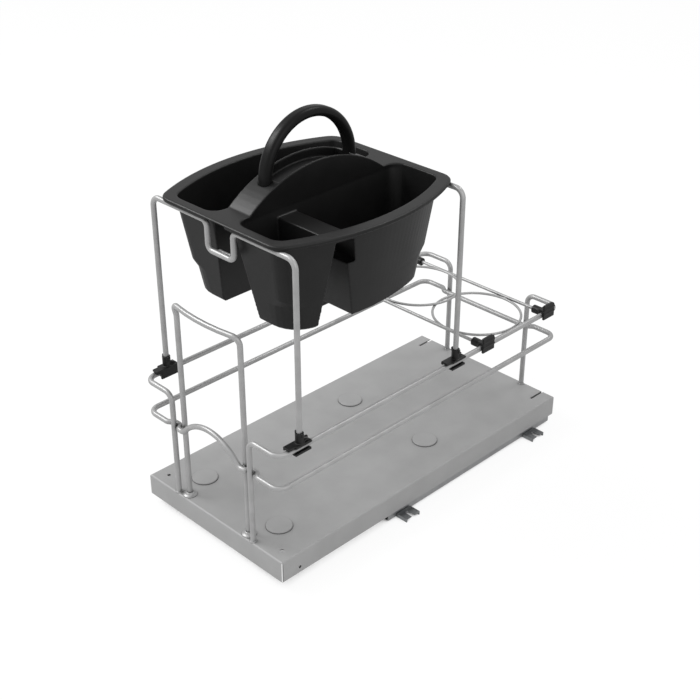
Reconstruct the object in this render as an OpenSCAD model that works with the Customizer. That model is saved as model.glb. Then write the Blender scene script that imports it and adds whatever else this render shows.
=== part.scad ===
// Under-sink organizer: a sliding sheet-steel tray with wire rails, a wire pull handle,
// two wire supports that carry a divided caddy, and a two-ring bottle holder.
// X runs across the tray, +Y runs to the back, Z = 0 is the floor under the brackets.

/* [Tray] */
// Width of the tray
tray_w = 220; // [208:1:250]
// Depth of the tray from front to back
tray_l = 454; // [446:1:500]
// Depth of the turned-down skirts
skirt_h = 25; // [16:0.5:29]
// Thickness of the tray's steel sheet
sheet_t = 1.2; // [0.8:0.1:1.6]
// Outer radius of the folds between top and skirts
fold_r = 2.2; // [1.8:0.1:4]
// Open seam between the front skirt and each side skirt
seam_w = 0.5; // [0.4:0.1:2]
// Diameter of the four raised discs
disc_d = 29; // [16:1:36]
// Height of the four raised discs
disc_h = 1.6; // [0.8:0.1:3]

/* [Slides] */
// Height of the fixed slide members
slide_h = 33; // [32:0.5:45]
// Thickness of a closed slide, across the tray
slide_w = 12.7; // [12.2:0.1:15]
// Length of the fixed and middle slide members
slide_l = 289; // [270:1:330]
// Thickness of the slide members' steel
slide_t = 1.2; // [0.9:0.1:1.3]
// Diameter of the bearing balls
ball_d = 3.5; // [3:0.1:3.6]
// How far the tray pulls out
tray_travel = 270; // [200:5:280]

/* [Floor brackets] */
// Length of each floor bracket along the slide
bracket_l = 30.8; // [26:0.2:40]
// Thickness of the brackets' steel
bracket_t = 1.2; // [1:0.1:1.6]
// How far the bracket's prongs reach past the tray
bracket_reach = 12.3; // [9:0.1:20]
// Height of the raised part that takes the floor screw
bracket_rise = 4.5; // [3:0.1:8]
// Width of the open screw slot
slot_w = 5; // [4:0.1:6]

/* [Wire rails] */
// Diameter of the rail, handle and support wire
wire_d = 6; // [5:0.1:6.4]
// Height of the upper rails above the tray
upper_z = 125.5; // [105:0.5:150]
// Height of the lower rail above the tray
lower_z = 85.8; // [60:0.2:92]
// Distance of the upper rails' posts from the middle
post_x = 61.6; // [59:0.2:70]
// Bend radius where the posts turn into the upper rails
post_bend = 10.5; // [8:0.5:14]
// Bend radius of the rails' corners
rail_bend = 12.5; // [8:0.1:12.6]
// Bend radius of the arch in the middle of the lower rail
arch_r = 55; // [45:1:56]

/* [Pull handle] */
// Distance of the handle's posts from the middle
handle_x = 49.2; // [46:0.2:51]
// Height of the handle's top bar above the tray
handle_z = 236.5; // [160:0.5:260]
// How far the handle's top flares out on each side
handle_flare = 2.2; // [1:0.1:4]
// How far the top bar bows forward
handle_bow = 9.2; // [4:0.2:14]

/* [Caddy supports] */
// Distance of the front support behind the tray's front edge
front_support_y = 32.4; // [32:0.1:50]
// Distance between the rear support and the bottle holder's front cross wire
holder_gap = 50.8; // [46:0.1:70]
// Height of the supports' top wire above the tray
support_z = 328.9; // [250:0.5:360]
// Bend radius at the supports' top corners
support_bend = 10; // [7:0.5:20]
// Width of the notch in the front support, between wire centres
notch_w = 38.8; // [30:0.2:60]
// Depth of the notch in the front support
notch_h = 30.4; // [18:0.2:40]

/* [Bottle holder] */
// Distance of the holder's middle in front of the tray's rear edge
holder_back = 82.9; // [80:0.1:90]
// Distance between the holder's two cross wires
cross_pitch = 110; // [100:0.2:114]
// Diameter of the cross wires
cross_d = 4; // [3:0.1:5]
// Diameter of the ring wire
ring_d = 3; // [2.5:0.1:4]
// Gap between each ring and the rail beside it
ring_gap = 1.8; // [0.3:0.1:6]

/* [Caddy] */
// Depth of the caddy below its rim
caddy_h = 107.5; // [80:0.5:120]
// Half width of the rim at the middle of its long sides
rim_half_w = 117.5; // [112:0.5:124]
// Radius of the rim's bowed long sides
side_bow_r = 254; // [240:1:400]
// How far the rim overhangs the tub's long walls
rim_over = 13; // [8:0.1:14]
// How far the rim overhangs the tub's short walls
end_over = 10; // [8:0.1:12]
// Height of the rim
rim_h = 4.5; // [3.5:0.1:8]
// Wall thickness of the tub
wall_t = 2.2; // [1.6:0.1:3]
// How much the long walls lean in from rim to bottom
side_lean = 15.4; // [8:0.1:20]
// How much the short walls lean in from rim to bottom
end_lean = 18; // [10:0.5:22]
// Corner radius of the tub above the ledges in its corners
tub_corner_r = 17; // [12:0.5:22]
// Corner radius of the tub below those ledges
low_corner_r = 34; // [24:0.5:40]
// Height of the ledges above the bottom
step_z = 37; // [24:0.5:45]
// Half width of the open channel under the divider, at the bottom
channel_half = 28; // [20:0.2:30]
// Width of the divider's top
ridge_w = 32; // [26:0.2:34]
// Rise of the divider's arch above the rim
ridge_rise = 32.5; // [20:0.5:45]
// Flat land before and behind the divider's arch
ridge_land = 20.5; // [15:0.5:28]
// Width of the grip, across the caddy
grip_w = 15; // [11:0.2:18]
// Thickness of the grip
grip_t = 10.8; // [9:0.2:16]
// Radius of the grip's loop, at its centre line
grip_r = 57.6; // [50:0.2:62]
// Height of the loop's centre above the divider at the grip's feet
grip_z = 1.8; // [0.5:0.1:10]

/* [Hidden] */

// General values
$fn = 64;
over = 1;
weld_sink = 0.2;
joint_gap = 0.05;
wire_r = wire_d / 2;
run_clear = 0.3;
fit_clear = 0.05;
front_y = -tray_l / 2;
rear_y = tray_l / 2;

// Slide stack: fixed member outside, middle member on balls, tray member on balls
slide_top_gap = 0.6;
tray_z = bracket_t + slide_h + slide_top_gap + sheet_t;
slide_mid_z = bracket_t + slide_h / 2;
slide_back_x = tray_w / 2 - sheet_t - slide_w;
slide_rear_gap = 4;
slide_rear_y = rear_y - slide_rear_gap;
slide_front_y = slide_rear_y - slide_l;
ball_clear = 0.05;
race = ball_d + 2 * ball_clear;
cage_t = 0.7;
cage_gap = 0.5;
skirt_gap = 2.1;
lip_h = 7;
web_proud = 1.1;
fixed_half = slide_h / 2;
fixed_depth = slide_w - skirt_gap;
mid_half = fixed_half - slide_t - race;
mid_u = slide_t + 2 * cage_gap + cage_t;
mid_depth = fixed_depth - slide_t - mid_u - run_clear;
tray_half = mid_half - slide_t - race;
tray_u = mid_u + slide_t + 2 * cage_gap + cage_t;
tray_member_front = 15;
ball_u = (mid_u + slide_t + fixed_depth - slide_t) / 2;
inner_ball_u = (tray_u + fixed_depth - slide_t) / 2;
cage_margin = 1;
balls_in_row = 6;
stop_l = 5;
stop_proud = 1.2;
stop_clear = 0.4;
cage_front = slide_front_y + tray_travel / 4 + stop_l - stop_proud + cage_margin;
cage_rear = slide_rear_y - tray_travel / 4 - cage_margin;

// Brackets, measured from the ends of the fixed slides and along each bracket
bracket_front_in = 19.4;
bracket_rear_in = 44.6;
bracket_front_y = slide_front_y + bracket_front_in;
bracket_rear_y = slide_rear_y - bracket_rear_in;
bracket_up_h = 20;
riser_gap = 0.8;
slot_off = 4.5;
slot_run = 8.3;
prong_front = 6;
rivet_d = 3;
rivet_head_d = 6;
rivet_head_h = 1;
rivet_pitch = 16;
rivet_z = 12;

// Tray details
disc_x = 61.6;
disc_front_y = 40.4;
disc_rear_y = 269.4;
disc_bevel = 0.7;
drain_x = 94;
drain_y = 14.8;
drain_d = 4;
screw_hole_y = 25;
screw_hole_d = 3.5;
rear_slit_x = 91;
rear_slit_w = 3;
rear_slit_l = 24;

// Rails, measured from the tray's front edge and its top
post_y = 4;
rail_inset = 4.5;
rail_x = tray_w / 2 - rail_inset;
rail_front_y = front_y + post_y;
rail_rear_y = rear_y - post_y;
rail_z = tray_z + upper_z;
lower_inset = 4.7;
lower_front = 4.2;
lower_rear = 3.5;
lower_x = tray_w / 2 - lower_inset;
lower_bend = 12;
weave_bend = 6;
weave_half = 4;
weave_run = 8;
handle_y = 9.2;
arch_bend = 8;
arch_angle = 45;
cross_over = wire_d - weld_sink;
weave_in_y = front_y + post_y + cross_over;
weave_out_y = front_y + handle_y - cross_over;
weave_rear_y = rear_y - post_y - cross_over;

// Handle
flare_h = 13;
flare_front = 2.2;
flare_bend = 15;
handle_corner = 8;
bow_slack = 2;
collar_d = 16;
collar_top_d = 9;
collar_h = 4;
collar_edge = 1;

// Supports
notch_off = 0.8;
notch_bend = 7;
support_pitch = tray_l - front_support_y - holder_gap - cross_pitch / 2 - holder_back;
rear_support_y = front_support_y + support_pitch;
clip_wire_d = 4;
clip_wire_l = 17;
clip_lump_d = 6;

// Support clips, measured from the rail they hold
clip_col_d = 9;
clip_col_top = 17.3;
clip_socket = 6;
clip_ear_w = 2.6;
clip_ear_h = 4;
clip_ear_over = 0.5;
clip_t = 2.5;
clip_front = 11.4;
clip_rear = 14.4;
jaw_front = 9;
jaw_rear = 12;
jaw_reach = 5.5;
lip_reach = 4.5;
finger_front = 17;
finger_l = 5;
finger_reach = 3;
finger_drop = 1.2;
gusset_h = 6;
gusset_t = 3;

// Holder and its clips, measured from the rail they hold
knob_d = 10;
knob_l = 13.5;
holder_front = 6;
thumb_front = 9.8;
thumb_low = 4;
thumb_high = 14.6;
thumb_corner = 5;
rib_h = 1.6;
rib_out = 1;
rib_low_z = 2.6;
rib_high_z = 8.2;
holder_y = rear_y - holder_back;
ring_lift = (ring_d - weld_sink) / 2;
ring_to_cross = (ring_d + cross_d) / 2 - weld_sink;
ring_r = cross_pitch / 2 - sqrt(ring_to_cross * ring_to_cross - ring_lift * ring_lift);
ring_to_rail = (ring_d + wire_d) / 2 + ring_gap;
ring_x = rail_x - sqrt(ring_to_rail * ring_to_rail - ring_lift * ring_lift) - ring_r;

// Caddy, measured from its middle and from the top of the rim
caddy_y = front_y + front_support_y + support_pitch / 2;
tub_clear = 0.45;
seat_z = tray_z + support_z + wire_r + run_clear;
rim_z = seat_z + rim_h;
tub_low_z = rim_z - caddy_h;
tub_half_l = support_pitch / 2 - wire_r - tub_clear;
tub_half_w = rim_half_w - rim_over;
tub_bow_r = side_bow_r - rim_over;
rim_corner_r = 20;
rim_round = 1.4;
rim_lip_t = 2;
rim_top_t = 2;
rim_groove_share = 0.82;
bottom_round = 3;
rear_rise = 3.4;
ledge_h = 8;
floor_t = 2.5;
divider_corner_r = 14;
corner_steps = 6;
side_steps = 28;
ridge_half_l = tub_half_l - ridge_land;
ridge_r = (ridge_half_l * ridge_half_l + ridge_rise * ridge_rise) / (2 * ridge_rise);
ridge_mid_z = rim_z + ridge_rise - ridge_r;
trough_h = 10;
grip_edge = 5.2;
trough_half_l = grip_r - grip_t / 2;
foot_out = grip_r + grip_t / 2;
foot_seat_z = ridge_mid_z + sqrt(ridge_r * ridge_r - foot_out * foot_out);
foot_sink = 3.6;
foot_z = foot_seat_z - foot_sink;
grip_mid_z = foot_seat_z + grip_z;
channel_top_half = ridge_w / 2 - wall_t;
recess_share = 0.4035;
recess_y = -tub_half_l * recess_share;
recess_front_top = 9.8;
recess_front_low = 19.8;
recess_rear_top = 10.2;
recess_rear_low = 20.2;
recess_step = 9;
recess_step_z = 67;
recess_lean = 5;
recess_top_gap = 9;

// Unit vector along v
function unit(v) = v / norm(v);
// Point number i of a closed list
function at(pts, i) = pts[(i + len(pts)) % len(pts)];
// Angle by which a wire turns at point i
function turn(pts, i) =
    acos(max(-1, min(1, unit(at(pts, i) - at(pts, i - 1)) * unit(at(pts, i + 1) - at(pts, i)))));
// Length that the bend at point i takes from each neighbouring straight
function cut(pts, bends, i, loop) =
    (!loop && (i == 0 || i == len(pts) - 1)) ? 0 : at(bends, i) * tan(turn(pts, i) / 2);
// A point mirrored across the middle plane
function flip(p) = [-p[0], p[1], p[2]];
// A list of points followed by its own mirror image in reverse
function both_ways(pts) = concat(pts, [for (i = [len(pts) - 1 : -1 : 0]) flip(pts[i])]);

// Straight stretch of wire from a to b
module rod(a, b, d) {
    v = b - a;
    translate(a)
        rotate([0, acos(v[2] / norm(v)), atan2(v[1], v[0])])
            cylinder(d = d, h = norm(v));
}

// Bend of radius r at point p1 of the path p0, p1, p2
module elbow(p0, p1, p2, r, d) {
    u = unit(p1 - p0);
    v = unit(p2 - p1);
    angle = acos(u * v);
    middle = p1 + unit(v - u) * r / cos(angle / 2);
    x = unit(p1 - u * r * tan(angle / 2) - middle);
    z = cross(x, u);
    multmatrix([
        [x[0], u[0], z[0], middle[0]],
        [x[1], u[1], z[1], middle[1]],
        [x[2], u[2], z[2], middle[2]],
        [0, 0, 0, 1]
    ])
        rotate_extrude(angle = angle)
            translate([r, 0])
                circle(d = d, $fn = 24);
}

// Thin disc across the wire that closes the hair's breadth between a straight and a bend
module joint(p, along, d) {
    rod(p - along * joint_gap, p + along * joint_gap, d + 2 * joint_gap, $fn = 24);
}

// Wire through a list of points, with a bend radius at each
module wire(pts, bends, d, loop = false) {
    n = len(pts);
    for (i = [0 : loop ? n - 1 : n - 2]) {
        along = unit(at(pts, i + 1) - pts[i]);
        trim_a = cut(pts, bends, i, loop);
        trim_b = cut(pts, bends, (i + 1) % n, loop);
        a = pts[i] + along * trim_a;
        b = at(pts, i + 1) - along * trim_b;
        rod(a + along * min(trim_a, joint_gap / 2), b - along * min(trim_b, joint_gap / 2), d, $fn = 24);
        if (trim_a > 0)
            joint(a, along, d);
        if (trim_b > 0)
            joint(b, along, d);
    }
    for (i = [loop ? 0 : 1 : loop ? n - 1 : n - 2])
        elbow(at(pts, i - 1), pts[i], at(pts, i + 1), bends[i], d);
}

// The right half's shapes, mirrored to the left
module on_left() {
    mirror([1, 0, 0])
        children();
}

// An XZ outline run along Y from y0 to y1
module along_y(y0, y1) {
    translate([0, y1, 0])
        rotate([90, 0, 0])
            linear_extrude(y1 - y0)
                children();
}

// A YZ outline run along X from x0 to x1
module along_x(x0, x1) {
    translate([x0, 0, 0])
        rotate([90, 0, 90])
            linear_extrude(x1 - x0)
                children();
}

// A channel section of sheet t, open to the right
module channel(depth, half, t) {
    difference() {
        translate([0, -half])
            square([depth, 2 * half]);
        translate([t, t - half])
            square([depth, 2 * (half - t)]);
    }
}

// A channel section whose open edges turn towards each other by lip
module lipped_channel(depth, half, t, lip) {
    low = [
        [t, t - half], [depth - t, t - half], [depth - t, t + lip - half],
        [depth, t + lip - half], [depth, -half], [0, -half]
    ];
    polygon(concat(low, [for (i = [len(low) - 1 : -1 : 0]) [low[i][0], -low[i][1]]]));
}

// A slide section on the right-hand slide's axes
module slide_run(y0, y1) {
    along_y(y0, y1)
        translate([slide_back_x, slide_mid_z])
            children();
}

module fixed_slide() {
    color("#b4b4b4")
        difference() {
            slide_run(slide_front_y, slide_rear_y)
                lipped_channel(fixed_depth, fixed_half, slide_t, lip_h);
            bracket_rivet_places()
                translate([slide_back_x, 0, rivet_z])
                    rotate([0, 90, 0])
                        cylinder(d = rivet_d + 2 * fit_clear, h = 2 * (slide_t + fit_clear), center = true);
        }
}

module slide_end_stop() {
    height = race - stop_clear;
    seat = fixed_half - slide_t;
    color("#161616")
        for (z = [-seat, seat - height])
            translate([slide_back_x + mid_u + slide_t, slide_front_y - stop_proud, slide_mid_z + z])
                cube([fixed_depth - 2 * slide_t - mid_u, stop_l, height]);
}

module middle_slide() {
    color("#bcbcbc")
        slide_run(slide_front_y, slide_rear_y)
            translate([mid_u, 0])
                channel(mid_depth, mid_half, slide_t);
}

module tray_slide() {
    color("#b4b4b4")
        difference() {
            slide_run(front_y + tray_member_front, slide_rear_y) {
                translate([slide_w, 0])
                    mirror([1, 0])
                        channel(slide_w - tray_u, tray_half, slide_t);
                translate([slide_w - slide_t, -tray_half - web_proud])
                    square([slide_t, 2 * (tray_half + web_proud)]);
            }
            skirt_screw_hole();
        }
}

// Places of one raceway's balls along Y
function ball_row(y0, y1) = [for (i = [0 : balls_in_row - 1]) y0 + (i + 0.5) * (y1 - y0) / balls_in_row];

// Ball cage: a thin channel with a hole for each ball
module cage(u0, u1, half, y0, y1, mid_ball) {
    color("#8c8c8c")
        difference() {
            slide_run(y0, y1)
                translate([u0, 0])
                    channel(u1 - u0, half + cage_t / 2, cage_t);
            for (y = ball_row(y0, y1))
                translate([slide_back_x + mid_ball, y, slide_mid_z])
                    cylinder(d = ball_d + 4 * fit_clear, h = 2 * (half + over), center = true, $fn = 32);
        }
}

module balls(half, y0, y1, mid_ball) {
    color("#d0d0d0")
        for (side = [0, 1], s = [-1, 1], y = ball_row(y0, y1))
            mirror([side, 0, 0])
                translate([slide_back_x + mid_ball, y, slide_mid_z + s * half])
                    sphere(d = ball_d, $fn = 24);
}

module outer_cage() {
    cage(slide_t + cage_gap, fixed_depth - slide_t - cage_gap, mid_half + race / 2,
         cage_front, cage_rear, ball_u);
}

module outer_balls() {
    balls(mid_half + race / 2, cage_front, cage_rear, ball_u);
}

module inner_cage() {
    cage(mid_u + slide_t + cage_gap, mid_u + mid_depth, tray_half + race / 2,
         cage_front, cage_rear, inner_ball_u);
}

module inner_balls() {
    balls(tray_half + race / 2, cage_front, cage_rear, inner_ball_u);
}

// Rivets stand at two places on each of the right-hand brackets
module bracket_rivet_places() {
    for (y = [bracket_front_y, bracket_rear_y], s = [-1, 1])
        translate([0, y + s * rivet_pitch / 2, 0])
            children();
}

module bracket_rivets() {
    color("#b8b8b8")
        for (side = [0, 1])
            mirror([side, 0, 0])
                bracket_rivet_places()
                    translate([slide_back_x - bracket_t - rivet_head_h, 0, rivet_z])
                        rotate([0, 90, 0]) {
                            cylinder(d = rivet_head_d, h = rivet_head_h);
                            cylinder(d = rivet_d, h = rivet_head_h + bracket_t + slide_t);
                        }
}

// Bent floor bracket: upright behind the slide, sole under it, raised slotted foot outside
module floor_bracket(y_mid) {
    half = bracket_l / 2;
    foot_l = half + prong_front;
    foot_x = slide_back_x + fixed_depth + riser_gap;
    tip_x = tray_w / 2 + bracket_reach;
    color("#aaaaaa")
        translate([0, y_mid, 0])
            difference() {
                union() {
                    translate([slide_back_x - bracket_t, -half, 0])
                        cube([bracket_t, bracket_l, bracket_up_h]);
                    translate([slide_back_x - bracket_t, -prong_front, 0])
                        cube([foot_x + bracket_t - slide_back_x + bracket_t, foot_l, bracket_t]);
                    difference() {
                        translate([foot_x, -prong_front, 0])
                            cube([tip_x - foot_x, foot_l, bracket_rise]);
                        translate([foot_x + bracket_t, bracket_t - prong_front, -over])
                            cube([tip_x - foot_x, foot_l - 2 * bracket_t, bracket_rise - bracket_t + over]);
                    }
                }
                translate([tip_x - slot_run, slot_off, -over])
                    cylinder(d = slot_w, h = bracket_rise + 2 * over);
                translate([tip_x - slot_run, slot_off - slot_w / 2, -over])
                    cube([slot_run + over, slot_w, bracket_rise + 2 * over]);
                for (s = [-1, 1])
                    translate([slide_back_x - bracket_t, s * rivet_pitch / 2, rivet_z])
                        rotate([0, 90, 0])
                            cylinder(d = rivet_d + 2 * fit_clear, h = 3 * bracket_t, center = true);
            }
}

// Hole in the right skirt and the slide member behind it
module skirt_screw_hole() {
    translate([tray_w / 2, front_y + screw_hole_y, slide_mid_z])
        rotate([0, 90, 0])
            cylinder(d = screw_hole_d, h = 4 * (sheet_t + slide_t), center = true);
}

// Solid with two rounded top edges, half size across and height below the tray's top
module folded_end(half, top, low, r) {
    union() {
        translate([-half, low])
            square([2 * half, top - r - low]);
        translate([r - half, low])
            square([2 * (half - r), top - low]);
        for (s = [-1, 1])
            translate([s * (half - r), top - r])
                circle(r = r);
    }
}

module folded_block(inset, low) {
    half_w = tray_w / 2 - inset;
    half_l = tray_l / 2 - inset;
    top = tray_z - inset;
    r = fold_r - inset;
    intersection() {
        along_y(-half_l, half_l)
            folded_end(half_w, top, low, r);
        along_x(-half_w, half_w)
            folded_end(half_l, top, low, r);
    }
}

module tray_pan() {
    low = tray_z - skirt_h;
    color("#a0a0a0")
        difference() {
            union() {
                difference() {
                    folded_block(0, low);
                    folded_block(sheet_t, low - over);
                }
                for (x = [-disc_x, disc_x], y = [disc_front_y, disc_rear_y])
                    translate([x, front_y + y, tray_z - sheet_t / 2])
                        rotate_extrude()
                            disc_outline(disc_d / 2, sheet_t / 2 + disc_h);
            }
            for (x = [-disc_x, disc_x], y = [disc_front_y, disc_rear_y])
                translate([x, front_y + y, tray_z - sheet_t - over])
                    cylinder(d = disc_d - 2 * disc_bevel - 2 * sheet_t, h = disc_h + over);
            for (side = [0, 1])
                mirror([side, 0, 0]) {
                    translate([tray_w / 2 - sheet_t - over, front_y + sheet_t, low - over])
                        cube([sheet_t + 2 * over, seam_w, skirt_h - fold_r + over]);
                    translate([rear_slit_x, rear_y - rear_slit_l, low - over])
                        cube([rear_slit_w, rear_slit_l + over, skirt_h + 2 * over]);
                    translate([rear_slit_x + rear_slit_w, rear_y - sheet_t - over, low - over])
                        cube([tray_w / 2 - sheet_t - rear_slit_x - rear_slit_w, sheet_t + 2 * over,
                              skirt_h - sheet_t + over]);
                    translate([drain_x, front_y + drain_y, tray_z - 2 * sheet_t])
                        cylinder(d = drain_d, h = 3 * sheet_t);
                    skirt_screw_hole();
                }
        }
}

module disc_outline(r, h) {
    polygon([[0, 0], [r, 0], [r, h - disc_bevel], [r - disc_bevel, h], [0, h]]);
}

module upper_rail() {
    pts = [
        [post_x, rail_front_y, tray_z], [post_x, rail_front_y, rail_z],
        [rail_x, rail_front_y, rail_z], [rail_x, rail_rear_y, rail_z],
        [post_x, rail_rear_y, rail_z], [post_x, rail_rear_y, tray_z]
    ];
    color("#b4b4b4")
        wire(pts, [0, post_bend, rail_bend, rail_bend, post_bend, 0], wire_d);
}

module lower_rail() {
    z = tray_z + lower_z;
    y = front_y + lower_front;
    back = rear_y - lower_rear;
    half = post_x - weave_half;
    apex = handle_x - weave_half;
    front = [
        [-lower_x, y, z], [-post_x - weave_half - weave_run, y, z],
        [-post_x - weave_half, weave_in_y, z], [-half, weave_in_y, z],
        [-handle_x - weave_half, weave_out_y, z], [-apex, weave_out_y, z]
    ];
    back_half = [
        [lower_x, back, z], [post_x + weave_half + weave_run, back, z],
        [post_x + weave_half, weave_rear_y, z]
    ];
    pts = concat(front, [[0, weave_out_y, z + apex * tan(arch_angle)]],
                 [for (i = [len(front) - 1 : -1 : 0]) flip(front[i])], both_ways(back_half));
    front_bends = [lower_bend, weave_bend, weave_bend, weave_bend, weave_bend, arch_bend];
    back_bends = [lower_bend, weave_bend, weave_bend];
    bends = concat(front_bends, [arch_r], [for (i = [5 : -1 : 0]) front_bends[i]],
                   back_bends, [for (i = [2 : -1 : 0]) back_bends[i]]);
    color("#b4b4b4")
        wire(pts, bends, wire_d, loop = true);
}

module pull_handle() {
    y = front_y + handle_y;
    top = tray_z + handle_z;
    corner_x = handle_x + handle_flare;
    corner_y = y - flare_front;
    half = [
        [-handle_x, y, tray_z], [-handle_x, y, top - flare_h], [-corner_x, corner_y, top]
    ];
    bow_angle = atan(handle_bow / corner_x);
    bar = norm([corner_x, handle_bow]);
    bow_r = (bar - handle_corner - bow_slack) / tan(bow_angle);
    pts = concat(half, [[0, corner_y - handle_bow, top]], [for (i = [2 : -1 : 0]) flip(half[i])]);
    color("#bababa")
        wire(pts, [0, flare_bend, handle_corner, bow_r, handle_corner, flare_bend, 0], wire_d);
}

module handle_collars() {
    bore_r = wire_r + fit_clear;
    color("#b0b0b0")
        for (s = [-1, 1])
            translate([s * handle_x, front_y + handle_y, tray_z])
                rotate_extrude()
                    polygon([
                        [bore_r, 0], [collar_d / 2, 0], [collar_d / 2, collar_edge],
                        [collar_top_d / 2, collar_h], [bore_r, collar_h]
                    ]);
}

// Top wire of a support, from leg to leg
module support_wire(y, inner, inner_bends) {
    low = rail_z + clip_socket;
    top = tray_z + support_z;
    pts = concat([[-rail_x, y, low], [-rail_x, y, top]], inner, [[rail_x, y, top], [rail_x, y, low]]);
    color("#b8b8b8")
        wire(pts, concat([0, support_bend], inner_bends, [support_bend, 0]), wire_d);
}

module front_support_wire() {
    y = front_y + front_support_y;
    top = tray_z + support_z;
    left = -notch_off - notch_w / 2;
    right = notch_w / 2 - notch_off;
    support_wire(y, [[left, y, top], [left, y, top - notch_h], [right, y, top - notch_h], [right, y, top]],
                 [notch_bend, notch_bend, notch_bend, notch_bend]);
}

module rear_support_wire() {
    support_wire(front_y + rear_support_y, [], []);
}

// Short wire welded behind the notch, with a round end
module notch_clip_wire() {
    y = front_y + front_support_y + (wire_d + clip_wire_d) / 2 - weld_sink;
    z = tray_z + support_z - notch_h;
    color("#b8b8b8")
        translate([-notch_off, y, z]) {
            rotate([0, 90, 0])
                cylinder(d = clip_wire_d, h = clip_wire_l, center = true);
            translate([clip_wire_l / 2, 0, 0])
                sphere(d = clip_lump_d - 2 * weld_sink);
        }
}

// Moulded clip that snaps on the right rail and holds a support's leg
module support_clip(y) {
    grip = wire_r + run_clear;
    wall = grip + clip_t;
    color("#1a1a1a")
        translate([rail_x, front_y + y, rail_z])
            difference() {
                union() {
                    translate([0, 0, grip])
                        cylinder(d = clip_col_d, h = clip_col_top - grip);
                    for (s = [-1, 1])
                        translate([s * (clip_col_d / 2) - clip_ear_w / 2, -clip_ear_w / 2,
                                   clip_col_top - clip_ear_h])
                            cube([clip_ear_w, clip_ear_w, clip_ear_h + clip_ear_over]);
                    translate([-wall, -clip_front, -wall])
                        cube([clip_t, clip_front + clip_rear, 2 * wall]);
                    along_x(-gusset_t / 2, gusset_t / 2)
                        polygon([[0, grip], [jaw_rear, grip], [jaw_rear, wall], [0, wall + gusset_h]]);
                    translate([-wall, -jaw_front, grip])
                        cube([wall + jaw_reach, jaw_front + jaw_rear, clip_t]);
                    translate([-wall, -jaw_front, -wall])
                        cube([wall + lip_reach, jaw_front + jaw_rear, clip_t]);
                    translate([-wall, -finger_front, grip])
                        cube([wall + finger_reach, finger_front - jaw_front + clip_t, clip_t]);
                    translate([-wall, -finger_front, grip - finger_drop])
                        cube([clip_t, finger_l, clip_t]);
                }
                translate([0, 0, clip_socket])
                    cylinder(d = wire_d + 2 * fit_clear, h = clip_col_top);
            }
}

module cross_wire(s) {
    half = rail_x - wire_r - run_clear - clip_t;
    color("#b4b4b4")
        translate([0, holder_y + s * cross_pitch / 2, rail_z])
            rotate([0, 90, 0])
                cylinder(d = cross_d, h = 2 * half, center = true);
}

// Ring s = 1 lies right and low, s = -1 left and high
module bottle_ring(s) {
    color("#b4b4b4")
        translate([s * ring_x, holder_y, rail_z - s * ring_lift])
            rotate_extrude()
                translate([ring_r, 0])
                    circle(d = ring_d, $fn = 24);
}

// Moulded clip on the right rail with a knob for the cross wire and a thumb plate outside
module holder_clip(s) {
    grip = wire_r + run_clear;
    wall = grip + clip_t;
    color("#1a1a1a")
        translate([rail_x, holder_y + s * cross_pitch / 2, rail_z])
            difference() {
                union() {
                    translate([-grip - knob_l, 0, 0])
                        rotate([0, 90, 0])
                            cylinder(d = knob_d, h = knob_l);
                    along_y(-holder_front, holder_front)
                        polygon([
                            [-wall, -wall], [-grip, -wall], [-grip, grip], [grip, grip],
                            [grip, wall], [-wall, wall]
                        ]);
                    along_x(grip, wall)
                        thumb_outline();
                    for (z = [rib_low_z, rib_high_z])
                        translate([grip, -thumb_front, z])
                            cube([clip_t + rib_out, 2 * thumb_front, rib_h]);
                }
                translate([-wall - knob_l, 0, 0])
                    rotate([0, 90, 0])
                        cylinder(d = cross_d + 2 * fit_clear, h = knob_l + fit_clear);
            }
}

module thumb_outline() {
    translate([-thumb_front, -thumb_low])
        square([2 * thumb_front, thumb_low + thumb_high - thumb_corner]);
    translate([-thumb_front, -thumb_low])
        square([2 * thumb_front - thumb_corner, thumb_low + thumb_high]);
    translate([thumb_front - thumb_corner, thumb_high - thumb_corner])
        circle(r = thumb_corner);
}

// Right half of a bowed outline, from the front middle round to the back middle:
// half width w and half length l at the middles, side radius r, corner radius c
function bowed_half(w, l, r, c) =
    let (mx = w - r,
         cx = mx + sqrt((r - c) * (r - c) - (l - c) * (l - c)),
         a = atan2(c - l, cx - mx))
    concat(
        [for (i = [0 : corner_steps]) let (t = -90 + (a + 90) * i / corner_steps)
            [cx + c * cos(t), c - l + c * sin(t)]],
        [for (i = [1 : side_steps - 1]) let (t = a - 2 * a * i / side_steps)
            [mx + r * cos(t), r * sin(t)]],
        [for (i = [corner_steps : -1 : 0]) let (t = -90 + (a + 90) * i / corner_steps)
            [cx + c * cos(t), l - c - c * sin(t)]]
    );
function bowed(w, l, r, c) =
    let (half = bowed_half(w, l, r, c))
    concat(half, [for (i = [len(half) - 1 : -1 : 0]) [-half[i][0], half[i][1]]]);

// Solid through a stack of [height, outline] levels, lowest first
module loft(levels) {
    n = len(levels[0][1]);
    pts = [for (level = levels, p = level[1]) [p[0], p[1], level[0]]];
    walls = [for (j = [0 : len(levels) - 2], i = [0 : n - 1])
        let (a = j * n + i, b = j * n + (i + 1) % n) each [[a, a + n, b + n], [a, b + n, b]]];
    low = [[for (i = [0 : n - 1]) i]];
    high = [[for (i = [n - 1 : -1 : 0]) (len(levels) - 1) * n + i]];
    polyhedron(pts, concat(low, walls, high));
}

// Part of a wall's lean that is left at a height above the tub's bottom
function lean(h, whole) = whole * (1 - h / (caddy_h - rim_h));
// One level of the tub, h above its bottom, with its walls brought in by d and corner radius c
function tub_level(h, d, c) =
    [tub_low_z + h, bowed(tub_half_w - lean(h, side_lean) - d, tub_half_l - lean(h, end_lean) - d,
                          tub_bow_r - d, c - d)];

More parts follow.
